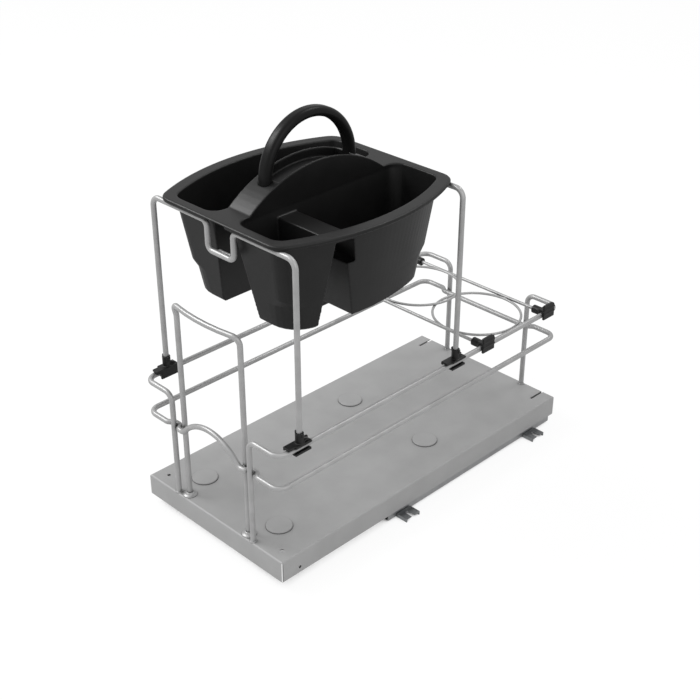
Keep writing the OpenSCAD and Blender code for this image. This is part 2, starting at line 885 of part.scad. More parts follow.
// The tub's outer form with its walls brought in by d and its bottom raised by up
module tub_form(d, up, top) {
    difference() {
        loft([
            tub_level(up, d + bottom_round, low_corner_r),
            tub_level(up + bottom_round, d, low_corner_r),
            tub_level(step_z - ledge_h + up, d, low_corner_r),
            tub_level(step_z + up, d, tub_corner_r),
            tub_level(top, d, tub_corner_r)
        ]);
        translate([-tub_half_w, recess_y, tub_low_z - over])
            cube([2 * tub_half_w, tub_half_l - recess_y, over + rear_rise + up]);
    }
}

// Long arch of the divider, brought in by d all round
module ridge_arch(half_w, d) {
    along_x(-half_w, half_w)
        intersection() {
            translate([0, ridge_mid_z])
                circle(r = ridge_r - d, $fn = 180);
            translate([-ridge_half_l, seat_z])
                square([2 * ridge_half_l, ridge_rise + rim_h]);
        }
}

// Tapered channel under the divider, open below
module divider_channel() {
    top = rim_z - wall_t;
    half = channel_top_half;
    along_y(-tub_half_l - end_over, tub_half_l + end_over)
        polygon([
            [-channel_half, tub_low_z - over], [channel_half, tub_low_z - over],
            [half, seat_z], [half, top], [-half, top], [-half, seat_z]
        ]);
}

// Half width of the divider at height z
function divider_half(z) =
    let (low = tub_low_z - over, share = min(1, (z - low) / (seat_z - low)))
    channel_half + (channel_top_half - channel_half) * share + wall_t;

// One level of a compartment, h above the tub's bottom: rounded beside the divider, open outside
function compartment_level(h, d) =
    let (z = tub_low_z + h, l = tub_half_l - lean(h, end_lean) - wall_t - d, x = divider_half(z),
         r = divider_corner_r, out = tub_half_w + over)
    [z, concat(
        [[out, l]],
        [for (i = [0 : corner_steps]) let (t = 90 + 90 * i / corner_steps)
            [x + r + r * cos(t), l - r + r * sin(t)]],
        [for (i = [0 : corner_steps]) let (t = 180 + 90 * i / corner_steps)
            [x + r + r * cos(t), r - l + r * sin(t)]],
        [[out, -l]]
    )];

// Space inside the tub on the divider's right
module compartment() {
    top = caddy_h + over;
    intersection() {
        tub_form(wall_t, floor_t, top);
        loft([
            compartment_level(floor_t, bottom_round),
            compartment_level(floor_t + bottom_round, 0),
            compartment_level(caddy_h - rim_h, 0),
            compartment_level(top, 0)
        ]);
    }
}

// Cross recess in the right wall, grown by d all round
module cross_recess(d) {
    top = seat_z - recess_top_gap + d;
    low = tub_low_z - over;
    ledge = tub_low_z + recess_step_z;
    along_x(0, tub_half_w + over)
        polygon([
            [recess_y - recess_front_low - d, low], [recess_y - recess_front_top - d, top],
            [recess_y + recess_rear_top + d, top],
            [recess_y + recess_rear_top + recess_lean + d, ledge + d],
            [recess_y + recess_rear_top + recess_lean - recess_step + d, ledge + d],
            [recess_y + recess_rear_low + d, low]
        ]);
}

module rim_form() {
    loft([
        [seat_z, bowed(rim_half_w, tub_half_l + end_over, side_bow_r, rim_corner_r)],
        [rim_z - rim_round, bowed(rim_half_w, tub_half_l + end_over, side_bow_r, rim_corner_r)],
        [rim_z, bowed(rim_half_w - rim_round, tub_half_l + end_over - rim_round,
                      side_bow_r - rim_round, rim_corner_r - rim_round)]
    ]);
}

// Hollow under the rim's long sides; the short sides stay solid where the wires carry them
module rim_groove() {
    low = seat_z - over;
    high = rim_z - rim_top_t;
    reach = tub_half_l * rim_groove_share;
    intersection() {
        difference() {
            loft([for (z = [low, high])
                [z, bowed(rim_half_w - rim_lip_t, tub_half_l + end_over - rim_lip_t,
                          side_bow_r - rim_lip_t, rim_corner_r - rim_lip_t)]]);
            loft([for (z = [low - over, high + over])
                [z, bowed(tub_half_w, tub_half_l, tub_bow_r, tub_corner_r)]]);
        }
        translate([-rim_half_w, -reach, low])
            cube([2 * rim_half_w, 2 * reach, high - low]);
    }
}

module caddy_tub() {
    color("#2c2c2c")
        translate([0, caddy_y, 0])
            difference() {
                union() {
                    difference() {
                        union() {
                            tub_form(0, 0, caddy_h - rim_h);
                            rim_form();
                        }
                        difference() {
                            compartment();
                            cross_recess(wall_t);
                        }
                        on_left()
                            compartment();
                        rim_groove();
                    }
                    ridge_arch(ridge_w / 2, 0);
                }
                divider_channel();
                ridge_arch(channel_top_half, trough_h + wall_t);
                cross_recess(0);
                intersection() {
                    difference() {
                        ridge_arch(channel_top_half, -over);
                        ridge_arch(channel_top_half + over, trough_h);
                    }
                    translate([-ridge_w / 2, -trough_half_l, rim_z - trough_h])
                        cube([ridge_w, 2 * trough_half_l, ridge_rise + 2 * trough_h]);
                }
                for (s = [-1, 1])
                    translate([0, s * grip_r, foot_z])
                        linear_extrude(ridge_rise)
                            grip_section(fit_clear);
            }
}

// The grip's cross-section, width along X, grown by d all round
module grip_section(d) {
    w = grip_w / 2 - grip_edge;
    t = grip_t / 2 - grip_edge;
    for (x = [-w, w], y = [-t, t])
        translate([x, y])
            circle(r = grip_edge + d, $fn = 32);
    square([2 * w, 2 * (t + grip_edge + d)], center = true);
    square([2 * (w + grip_edge + d), 2 * t], center = true);
}

module caddy_grip() {
    color("#1e1e1e")
        translate([0, caddy_y, 0]) {
            translate([0, 0, grip_mid_z])
                rotate([90, 0, 90])
                    rotate_extrude(angle = 180)
                        translate([grip_r, 0])
                            rotate(90)
                                grip_section(0);
            for (s = [-1, 1])
                translate([0, s * grip_r, foot_z])
                    linear_extrude(grip_mid_z - foot_z)
                        grip_section(0);
        }
}

on_left() fixed_slide();  // fixed_slide_left
fixed_slide();  // fixed_slide_right
union() { slide_end_stop(); on_left() slide_end_stop(); }  // slide_end_stops
bracket_rivets();
on_left() floor_bracket(bracket_front_y);  // floor_bracket_front_left
floor_bracket(bracket_front_y);  // floor_bracket_front_right
on_left() floor_bracket(bracket_rear_y);  // floor_bracket_rear_left
floor_bracket(bracket_rear_y);  // floor_bracket_rear_right
on_left() middle_slide();  // middle_slide_left
middle_slide();  // middle_slide_right
on_left() outer_cage();  // outer_cage_left
outer_cage();  // outer_cage_right
outer_balls();
on_left() inner_cage();  // inner_cage_left
inner_cage();  // inner_cage_right
inner_balls();
tray_pan();
on_left() tray_slide();  // tray_slide_left
tray_slide();  // tray_slide_right
on_left() upper_rail();  // upper_rail_left
upper_rail();  // upper_rail_right
lower_rail();
pull_handle();
handle_collars();
front_support_wire();
notch_clip_wire();
on_left() support_clip(front_support_y);  // front_clip_left
support_clip(front_support_y);  // front_clip_right
rear_support_wire();
on_left() support_clip(rear_support_y);  // rear_clip_left
support_clip(rear_support_y);  // rear_clip_right
cross_wire(-1);  // cross_wire_front
cross_wire(1);  // cross_wire_rear
bottle_ring(-1);  // bottle_ring_left
bottle_ring(1);  // bottle_ring_right
on_left() holder_clip(-1);  // holder_clip_front_left
holder_clip(-1);  // holder_clip_front_right
on_left() holder_clip(1);  // holder_clip_rear_left
holder_clip(1);  // holder_clip_rear_right
caddy_tub();
caddy_grip();
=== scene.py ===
"""Looks of the under-sink organizer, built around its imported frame.

A folded sheet-steel tray on ball slides carries wire rails, a pull handle, two wire
supports with moulded clips, a divided plastic caddy with a grip, and a bottle holder.
Sizes are in millimetres in the frame's axes: X across, +Y to the back, Z up.
"""
import math

import bmesh
import bpy
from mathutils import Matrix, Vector


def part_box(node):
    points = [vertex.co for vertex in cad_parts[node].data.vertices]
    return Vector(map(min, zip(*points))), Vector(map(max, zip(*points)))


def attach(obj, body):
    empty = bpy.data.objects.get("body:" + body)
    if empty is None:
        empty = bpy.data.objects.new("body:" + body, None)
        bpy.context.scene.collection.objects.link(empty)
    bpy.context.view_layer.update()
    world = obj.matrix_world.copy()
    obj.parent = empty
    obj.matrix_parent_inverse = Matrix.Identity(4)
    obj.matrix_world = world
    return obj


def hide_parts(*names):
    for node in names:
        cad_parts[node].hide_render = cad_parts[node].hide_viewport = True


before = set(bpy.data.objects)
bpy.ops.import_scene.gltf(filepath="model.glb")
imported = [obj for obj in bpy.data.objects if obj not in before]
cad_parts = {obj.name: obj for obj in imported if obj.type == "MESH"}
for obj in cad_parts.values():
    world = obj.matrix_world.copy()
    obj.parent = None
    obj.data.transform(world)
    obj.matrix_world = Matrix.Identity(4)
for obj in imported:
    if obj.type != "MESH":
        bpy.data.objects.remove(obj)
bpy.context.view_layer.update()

MM = 0.001

# Tray and rails
TRAY_TOP = 36.0
FRONT_Y, REAR_Y = -227.0, 227.0
WIRE_D = 6.0
POST_X, POST_IN = 61.6, 4.0
RAIL_X, RAIL_Z = 105.5, 161.5
LOWER_X, LOWER_Z = 105.3, 121.8
HANDLE_X, HANDLE_Y = 49.2, -217.8
# How far welded wires sink into each other, and how far apart their centre lines then lie
WELD_SINK = 0.2
CROSS_OVER = WIRE_D - WELD_SINK
# Each step of a drawn bend turns this much at most
ARC_STEP = math.radians(5)

# Supports and holder
FRONT_SUPPORT_Y, REAR_SUPPORT_Y = -194.6, 38.3
SUPPORT_LOW, SUPPORT_TOP = 167.5, 364.9
NOTCH_LEFT, NOTCH_RIGHT, NOTCH_Z = -20.2, 18.6, 334.5
HOLDER_Y, CROSS_HALF, CROSS_D, CROSS_PITCH = 144.1, 99.7, 4.0, 110.0
RING_D, RING_GAP = 3.0, 1.8

# Rivets on the brackets
BRACKET_YS, RIVET_PITCH, RIVET_Z = (-46.6, 178.4), 16.0, 12.0

# Shared sRGB shades: a painted highlight for folds, a painted shade for gaps and holes, and the paper's
# white
FOLD_HIGHLIGHT_PALE, GAP_SHADE_DARK, PAPER_WHITE = "#f4f4f4", "#3a3a3a", "#f4f4f4"


def linear(hex_colour):
    """The linear colour of an sRGB hex value such as '#a2a2a2'."""
    values = [int(hex_colour[i:i + 2], 16) / 255 for i in (1, 3, 5)]
    return [v / 12.92 if v <= 0.04045 else ((v + 0.055) / 1.055) ** 2.4 for v in values] + [1.0]


def add(tree, kind, sockets=(), **settings):
    """Adds a node with its settings; a socket takes a value or another node's output."""
    node = tree.nodes.new(kind)
    for name, value in settings.items():
        setattr(node, name, value)
    for name, value in dict(sockets).items():
        if isinstance(value, bpy.types.NodeSocket):
            tree.links.new(value, node.inputs[name])
        else:
            node.inputs[name].default_value = value
    return node


def made_mesh(name, points, edges=(), faces=()):
    """A mesh object at the origin from points in millimetres."""
    mesh = bpy.data.meshes.new(name)
    mesh.from_pydata([[c * MM for c in p] for p in points], list(edges), list(faces))
    thing = bpy.data.objects.new(name, mesh)
    bpy.context.scene.collection.objects.link(thing)
    return thing


def settled(thing):
    """The object with its modifiers' result as its own plain mesh."""
    graph = bpy.context.evaluated_depsgraph_get()
    mesh = bpy.data.meshes.new_from_object(thing.evaluated_get(graph))
    thing.modifiers.clear()
    thing.data = mesh
    mesh.name = thing.name
    return thing


def dressed(thing, body, slot, *nodes):
    """Lets a finished piece ride on its body and stands it for its CAD nodes; the slot is not used."""
    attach(thing, body)
    if nodes:
        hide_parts(*nodes)
    return thing


def node_copy(node, name):
    """A merged copy of a CAD node's mesh, as a new object."""
    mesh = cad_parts[node].data.copy()
    mesh.name = name
    form = bmesh.new()
    form.from_mesh(mesh)
    bmesh.ops.remove_doubles(form, verts=form.verts, dist=0.002 * MM)
    bmesh.ops.recalc_face_normals(form, faces=form.faces)
    form.to_mesh(mesh)
    form.free()
    thing = bpy.data.objects.new(name, mesh)
    bpy.context.scene.collection.objects.link(thing)
    return thing


def blank(name):
    """A new material with an empty tree; returns both."""
    finish = bpy.data.materials.new(name)
    finish.use_nodes = True
    finish.node_tree.nodes.clear()
    return finish, finish.node_tree


def powder_coat(name, dark, light, rough, flake, mottle_mm, peel_depth, folds=None):
    """Silver powder coat on steel: resin with aluminium flake, baked to a faint orange peel.
    Narrow gaps and holes are darkened: a painted shade for the shade that falls in them.
    Folds, given as the sheet's box, show as a paler line: a painted highlight along each fold."""
    finish, tree = blank(name)
    place = add(tree, "ShaderNodeTexCoord").outputs["Object"]
    clouds = add(tree, "ShaderNodeTexNoise",
                 {"Vector": place, "Scale": 1 / (mottle_mm * MM), "Detail": 3.0})
    # The peel's real cells are about 0.4 mm; they are drawn 1.4 mm wide so that they show
    peel = add(tree, "ShaderNodeTexNoise", {"Vector": place, "Scale": 1 / (1.4 * MM), "Detail": 1.0})
    tint = add(tree, "ShaderNodeMapRange",
               {"Value": clouds.outputs["Fac"], "From Min": 0.35, "From Max": 0.65})
    colour = add(tree, "ShaderNodeMix", {0: tint.outputs["Result"], 6: linear(dark), 7: linear(light)},
                 data_type="RGBA").outputs[2]
    if folds:
        # Distances to the box's sides, ends and top: the second smallest is small along a fold only
        low, high = folds
        spot = add(tree, "ShaderNodeSeparateXYZ", {0: place})
        off_x = add(tree, "ShaderNodeMath", {0: spot.outputs["X"]}, operation="ABSOLUTE")
        off_y = add(tree, "ShaderNodeMath", {0: spot.outputs["Y"]}, operation="ABSOLUTE")
        side = add(tree, "ShaderNodeMath", {0: high.x, 1: off_x.outputs[0]}, operation="SUBTRACT")
        end = add(tree, "ShaderNodeMath", {0: high.y, 1: off_y.outputs[0]}, operation="SUBTRACT")
        down = add(tree, "ShaderNodeMath", {0: high.z, 1: spot.outputs["Z"]}, operation="SUBTRACT")
        nearer = add(tree, "ShaderNodeMath", {0: side.outputs[0], 1: end.outputs[0]},
                     operation="MINIMUM")
        farther = add(tree, "ShaderNodeMath", {0: side.outputs[0], 1: end.outputs[0]},
                      operation="MAXIMUM")
        second = add(tree, "ShaderNodeMath", {0: farther.outputs[0], 1: down.outputs[0]},
                     operation="MINIMUM")
        fold = add(tree, "ShaderNodeMath", {0: nearer.outputs[0], 1: second.outputs[0]},
                   operation="MAXIMUM")
        # Painted highlight: a paler band mixed in along each fold of the sheet
        line = add(tree, "ShaderNodeMapRange", {
            "Value": fold.outputs[0], "From Min": 1.0 * MM, "From Max": 0.5 * MM, "To Max": 0.8})
        colour = add(tree, "ShaderNodeMix", {0: line.outputs["Result"], 6: colour, 7: linear(FOLD_HIGHLIGHT_PALE)},
                     data_type="RGBA").outputs[2]
    # Painted shade: gaps, holes and creases darkened by an occlusion mask, where shade falls
    close = add(tree, "ShaderNodeAmbientOcclusion", {"Distance": 5 * MM}, samples=6)
    painted_shade = add(tree, "ShaderNodeMapRange", {
        "Value": close.outputs["AO"], "From Min": 0.88, "From Max": 0.5, "To Max": 0.9})
    shaded = add(tree, "ShaderNodeMix", {0: painted_shade.outputs["Result"], 6: colour, 7: linear(GAP_SHADE_DARK)},
                 data_type="RGBA")
    satin = add(tree, "ShaderNodeMapRange", {
        "Value": clouds.outputs["Fac"], "From Min": 0.3, "From Max": 0.7,
        "To Min": rough - 0.02, "To Max": rough + 0.03})
    relief = add(tree, "ShaderNodeBump",
                 {"Height": peel.outputs["Fac"], "Distance": peel_depth * MM, "Strength": 0.3})
    shader = add(tree, "ShaderNodeBsdfPrincipled", {
        "Base Color": shaded.outputs[2], "Roughness": satin.outputs["Result"],
        "Normal": relief.outputs["Normal"], "Metallic": flake, "IOR": 1.5})
    add(tree, "ShaderNodeOutputMaterial", {"Surface": shader.outputs["BSDF"]})
    return finish


def plated_steel(name, dark, light, rough):
    """Plated or polished steel: grey metal, faintly streaked along the rolling direction, Y."""
    finish, tree = blank(name)
    place = add(tree, "ShaderNodeTexCoord").outputs["Object"]
    rolled = add(tree, "ShaderNodeMapping", {"Vector": place, "Scale": (1, 0.06, 1)})
    # Roll marks are a few hundredths wide; they are drawn 1.6 mm apart so that they show
    streaks = add(tree, "ShaderNodeTexNoise",
                  {"Vector": rolled.outputs["Vector"], "Scale": 1 / (1.6 * MM), "Detail": 2.0})
    bloom = add(tree, "ShaderNodeTexNoise", {"Vector": place, "Scale": 1 / (9 * MM), "Detail": 3.0})
    tint = add(tree, "ShaderNodeMapRange",
               {"Value": bloom.outputs["Fac"], "From Min": 0.3, "From Max": 0.7})
    colour = add(tree, "ShaderNodeMix", {0: tint.outputs["Result"], 6: linear(dark), 7: linear(light)},
                 data_type="RGBA")
    shine = add(tree, "ShaderNodeMapRange", {
        "Value": streaks.outputs["Fac"], "From Min": 0.3, "From Max": 0.7,
        "To Min": rough - 0.07, "To Max": rough + 0.08})
    relief = add(tree, "ShaderNodeBump",
                 {"Height": streaks.outputs["Fac"], "Distance": 0.01 * MM, "Strength": 0.3})
    shader = add(tree, "ShaderNodeBsdfPrincipled", {
        "Base Color": colour.outputs[2], "Roughness": shine.outputs["Result"],
        "Normal": relief.outputs["Normal"], "Metallic": 1.0})
    add(tree, "ShaderNodeOutputMaterial", {"Surface": shader.outputs["BSDF"]})
    return finish


def moulded_plastic(name, dark, light, rough, grit_mm, grit_depth, ior, sheen_kept):
    """Injection-moulded plastic: the tool's eroded grit over faint clouds of uneven flow.
    Fine grit traps light, so only part of a polished face's reflection is kept."""
    finish, tree = blank(name)
    place = add(tree, "ShaderNodeTexCoord").outputs["Object"]
    clouds = add(tree, "ShaderNodeTexNoise", {"Vector": place, "Scale": 1 / (18 * MM), "Detail": 3.0})
    grit = add(tree, "ShaderNodeTexNoise", {"Vector": place, "Scale": 1 / (grit_mm * MM), "Detail": 2.0})
    tint = add(tree, "ShaderNodeMapRange",
               {"Value": clouds.outputs["Fac"], "From Min": 0.3, "From Max": 0.7})
    colour = add(tree, "ShaderNodeMix", {0: tint.outputs["Result"], 6: linear(dark), 7: linear(light)},
                 data_type="RGBA")
    matt = add(tree, "ShaderNodeMapRange", {
        "Value": grit.outputs["Fac"], "From Min": 0.3, "From Max": 0.7,
        "To Min": rough - 0.03, "To Max": rough + 0.04})
    relief = add(tree, "ShaderNodeBump",
                 {"Height": grit.outputs["Fac"], "Distance": grit_depth * MM, "Strength": 0.4})
    shader = add(tree, "ShaderNodeBsdfPrincipled", {
        "Base Color": colour.outputs[2], "Roughness": matt.outputs["Result"],
        "Normal": relief.outputs["Normal"], "IOR": ior, "Specular IOR Level": sheen_kept})
    add(tree, "ShaderNodeOutputMaterial", {"Surface": shader.outputs["BSDF"]})
    return finish


# Silver powder coat, satin, on the tray's sheet: an even light grey with soft clouds of flake
TRAY_COAT = powder_coat("silver_powder_coat_on_sheet", "#9c9c9c", "#a1a1a1", rough=0.48, flake=0.1,
                        mottle_mm=30, peel_depth=0.02, folds=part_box("tray_pan"))
# The same coat on drawn wire: it lies smoother there, so the flake glints along each wire
WIRE_COAT = powder_coat("silver_powder_coat_on_wire", "#a6a6a6", "#b0b0b0", rough=0.38, flake=0.4,
                        mottle_mm=14, peel_depth=0.004)
# Bright zinc plate on rolled strip: pale grey metal with soft streaks, the slides
SLIDE_ZINC = plated_steel("zinc_plated_rolled_strip", "#a8a9aa", "#b4b5b6", rough=0.46)
# Duller zinc plate on pressed sheet: darker, cloudier grey, the brackets, cages and rivets
BRACKET_ZINC = plated_steel("zinc_plated_pressed_sheet", "#8f9193", "#a4a6a7", rough=0.38)
# Ground and polished bearing steel: small mirror balls
BALL_STEEL = plated_steel("polished_bearing_steel", "#c6c7c8", "#d2d3d4", rough=0.14)
# Black nylon from an eroded tool: near black with a dull sheen, the rail clips.
# The real grit is about 0.1 mm; here and below it is drawn coarser so that it shows
CLIP_NYLON = moulded_plastic("black_moulded_nylon", "#0a0a0a", "#101010", rough=0.42,
                             grit_mm=0.9, grit_depth=0.03, ior=1.53, sheen_kept=0.4)
# Soft black vinyl: a dull rubbery black, the slides' end stops
STOP_VINYL = moulded_plastic("black_soft_vinyl", "#0e0e0e", "#161616", rough=0.62,
                             grit_mm=0.7, grit_depth=0.03, ior=1.53, sheen_kept=0.4)
# Charcoal polypropylene from an eroded tool: matt dark grey that turns black inside, the tub
TUB_PLASTIC = moulded_plastic("charcoal_moulded_polypropylene", "#0f0f0f", "#141414", rough=0.4,
                              grit_mm=0.8, grit_depth=0.03, ior=1.49, sheen_kept=0.36)
# Black polypropylene from a polished tool: the grip's wide soft highlight. The tool leaves no
# grit, so only the faint waves of its polishing are drawn, 3 mm wide
GRIP_PLASTIC = moulded_plastic("black_polished_polypropylene", "#111111", "#151515", rough=0.33,
                               grit_mm=3.0, grit_depth=0.003, ior=1.49, sheen_kept=0.16)


def swept_wire_tree():
    """Sweeps a round wire of a named diameter along a centre line."""
    tree = bpy.data.node_groups.new("swept_wire", "GeometryNodeTree")
    face = tree.interface
    face.new_socket("Centre line", in_out="INPUT", socket_type="NodeSocketGeometry")
    face.new_socket("Wire diameter", in_out="INPUT", socket_type="NodeSocketFloat")
    face.new_socket("Sides", in_out="INPUT", socket_type="NodeSocketInt")
    face.new_socket("Finish", in_out="INPUT", socket_type="NodeSocketMaterial")
    face.new_socket("Wire", in_out="OUTPUT", socket_type="NodeSocketGeometry")
    given = add(tree, "NodeGroupInput").outputs
    radius = add(tree, "ShaderNodeMath", {0: given["Wire diameter"], 1: 0.5}, operation="MULTIPLY")
    ring = add(tree, "GeometryNodeCurvePrimitiveCircle",
               {"Resolution": given["Sides"], "Radius": radius.outputs[0]}, mode="RADIUS")
    line = add(tree, "GeometryNodeMeshToCurve", {"Mesh": given["Centre line"]})
    tube = add(tree, "GeometryNodeCurveToMesh", {
        "Curve": line.outputs["Curve"], "Profile Curve": ring.outputs["Curve"], "Fill Caps": True})
    smooth = add(tree, "GeometryNodeSetShadeSmooth", {"Geometry": tube.outputs["Mesh"]})
    real = add(tree, "GeometryNodeRealizeInstances", {"Geometry": smooth.outputs[0]})
    painted = add(tree, "GeometryNodeSetMaterial",
                  {"Geometry": real.outputs[0], "Material": given["Finish"]})
    add(tree, "NodeGroupOutput", {"Wire": painted.outputs[0]})
    return tree


def with_tree(thing, tree, **values):
    """Runs a tree on the object with its named inputs set, and keeps the result as a plain mesh."""
    modifier = thing.modifiers.new(tree.name, "NODES")
    modifier.node_group = tree
    for socket in tree.interface.items_tree:
        key = socket.name.replace(" ", "_").lower()
        if socket.in_out == "INPUT" and key in values:
            modifier[socket.identifier] = values[key]
    return settled(thing)


def bent_path(points, bends, closed=False):
    """The centre line through the points, with an arc of the given radius at each."""
    points = [Vector(p) for p in points]
    count = len(points)
    line = []
    for i, (here, radius) in enumerate(zip(points, bends)):
        if not closed and i in (0, count - 1):
            line.append(here)
            continue
        before, after = points[i - 1], points[(i + 1) % count]
        turn = (here - before).angle(after - here)
        into, out = (here - before).normalized(), (after - here).normalized()
        middle = here + (out - into).normalized() * radius / math.cos(turn / 2)
        reach = here - into * radius * math.tan(turn / 2) - middle
        steps = max(3, math.ceil(turn / ARC_STEP))
        for k in range(steps + 1):
            angle = turn * k / steps
            line.append(middle + reach * math.cos(angle) + into * radius * math.sin(angle))
    return line


def flipped(points):
    """Points mirrored across the middle plane, in reverse order."""
    return [(-x, y, z) for x, y, z in reversed(points)]


WIRE_TREE = swept_wire_tree()


def wire(name, line, body, slot, nodes, diameter=WIRE_D, closed=False, sides=28):
    """One coated wire along its centre line."""
    count = len(line)
    edges = [(i, i + 1) for i in range(count - 1)] + ([(count - 1, 0)] if closed else [])
    thing = made_mesh(name, line, edges)
    with_tree(thing, WIRE_TREE, wire_diameter=diameter * MM, sides=sides, finish=WIRE_COAT)
    return dressed(thing, body, slot, *nodes)


def upper_rails():
    """Two side rails, each one wire from the front post round to the rear post."""
    front, rear = FRONT_Y + POST_IN, REAR_Y - POST_IN
    post_bend, corner_bend = 10.5, 12.5
    for side, word in ((-1, "left"), (1, "right")):
        points = [(side * x, y, z) for x, y, z in (
            (POST_X, front, TRAY_TOP), (POST_X, front, RAIL_Z), (RAIL_X, front, RAIL_Z),
            (RAIL_X, rear, RAIL_Z), (POST_X, rear, RAIL_Z), (POST_X, rear, TRAY_TOP))]
        line = bent_path(points, [0, post_bend, corner_bend, corner_bend, post_bend, 0])
        wire("Upper_rail_" + word, line, "tray", "wire_finish", ["upper_rail_" + word])


def lower_rail():
    """One closed wire that weaves past the posts and arches over the middle of the front."""
    front_in, rear_in = 4.2, 3.5
    y, back = FRONT_Y + front_in, REAR_Y - rear_in
    weave, run = 4.0, 8.0
    inside, outside = FRONT_Y + POST_IN + CROSS_OVER, HANDLE_Y - CROSS_OVER
    inside_rear = REAR_Y - POST_IN - CROSS_OVER
    apex = HANDLE_X - weave
    front = [
        (-LOWER_X, y, LOWER_Z), (-POST_X - weave - run, y, LOWER_Z),
        (-POST_X - weave, inside, LOWER_Z), (weave - POST_X, inside, LOWER_Z),
        (-HANDLE_X - weave, outside, LOWER_Z), (-apex, outside, LOWER_Z)]
    rear = [
        (LOWER_X, back, LOWER_Z), (POST_X + weave + run, back, LOWER_Z),
        (POST_X + weave, inside_rear, LOWER_Z)]
    points = front + [(0, outside, LOWER_Z + apex)] + flipped(front) + rear + flipped(rear)
    corner, step, foot, arch = 12, 6, 8, 55
    bends = [corner, step, step, step, step, foot]
    bends = bends + [arch] + bends[::-1] + [corner, step, step, step, step, corner]
    wire("Lower_rail", bent_path(points, bends, closed=True), "tray", "wire_finish", ["lower_rail"],
         closed=True)


def pull_handle():
    """The tall front loop, flared at its shoulders, its bar bowed forward."""
    top, shoulder, corner_x, corner_y = 272.5, 259.5, 51.4, -220.0
    bow, corner_r, kink_r, slack = 9.2, 8.0, 15.0, 2.0
    half = [(-HANDLE_X, HANDLE_Y, TRAY_TOP), (-HANDLE_X, HANDLE_Y, shoulder), (-corner_x, corner_y, top)]
    bar = math.hypot(corner_x, bow)
    bow_r = (bar - corner_r - slack) / (bow / corner_x)
    points = half + [(0, corner_y - bow, top)] + flipped(half)
    wire("Pull_handle", bent_path(points, [0, kink_r, corner_r, bow_r, corner_r, kink_r, 0]),
         "tray", "wire_finish", ["pull_handle"])


def supports():
    """The two hoops that carry the caddy; the front one dips into a notch."""
    hoop_bend, notch_bend = 10, 7

    def hoop(y, inner=()):
        points = ([(-RAIL_X, y, SUPPORT_LOW), (-RAIL_X, y, SUPPORT_TOP)] + [(x, y, z) for x, z in inner]
                  + [(RAIL_X, y, SUPPORT_TOP), (RAIL_X, y, SUPPORT_LOW)])
        return bent_path(points, [0, hoop_bend] + [notch_bend] * len(inner) + [hoop_bend, 0])

    notch = [
        (NOTCH_LEFT, SUPPORT_TOP), (NOTCH_LEFT, NOTCH_Z),
        (NOTCH_RIGHT, NOTCH_Z), (NOTCH_RIGHT, SUPPORT_TOP)]
    wire("Front_support", hoop(FRONT_SUPPORT_Y, notch), "front_support", "wire_finish",
         ["front_support_wire"])
    wire("Rear_support", hoop(REAR_SUPPORT_Y), "rear_support", "wire_finish", ["rear_support_wire"])


def holder_wires():
    """Two cross wires and two rings, the right ring below them and the left one above."""
    lift = (RING_D - WELD_SINK) / 2
    reach = (RING_D + CROSS_D) / 2 - WELD_SINK
    radius = CROSS_PITCH / 2 - math.sqrt(reach ** 2 - lift ** 2)
    beside = (RING_D + WIRE_D) / 2 + RING_GAP
    ring_x = RAIL_X - math.sqrt(beside ** 2 - lift ** 2) - radius
    for s, word in ((-1, "front"), (1, "rear")):
        y = HOLDER_Y + s * CROSS_PITCH / 2
        wire("Cross_wire_" + word, [Vector((-CROSS_HALF, y, RAIL_Z)), Vector((CROSS_HALF, y, RAIL_Z))],
             "bottle_holder", "wire_finish", ["cross_wire_" + word], CROSS_D, sides=24)
    steps = 96
    for s, word in ((-1, "left"), (1, "right")):
        line = [Vector((s * ring_x + radius * math.cos(a), HOLDER_Y + radius * math.sin(a),
                        RAIL_Z - s * lift))
                for a in (math.tau * k / steps for k in range(steps))]
        wire("Bottle_ring_" + word, line, "bottle_holder", "wire_finish", ["bottle_ring_" + word],
             RING_D, closed=True, sides=18)
    return ring_x, radius, lift


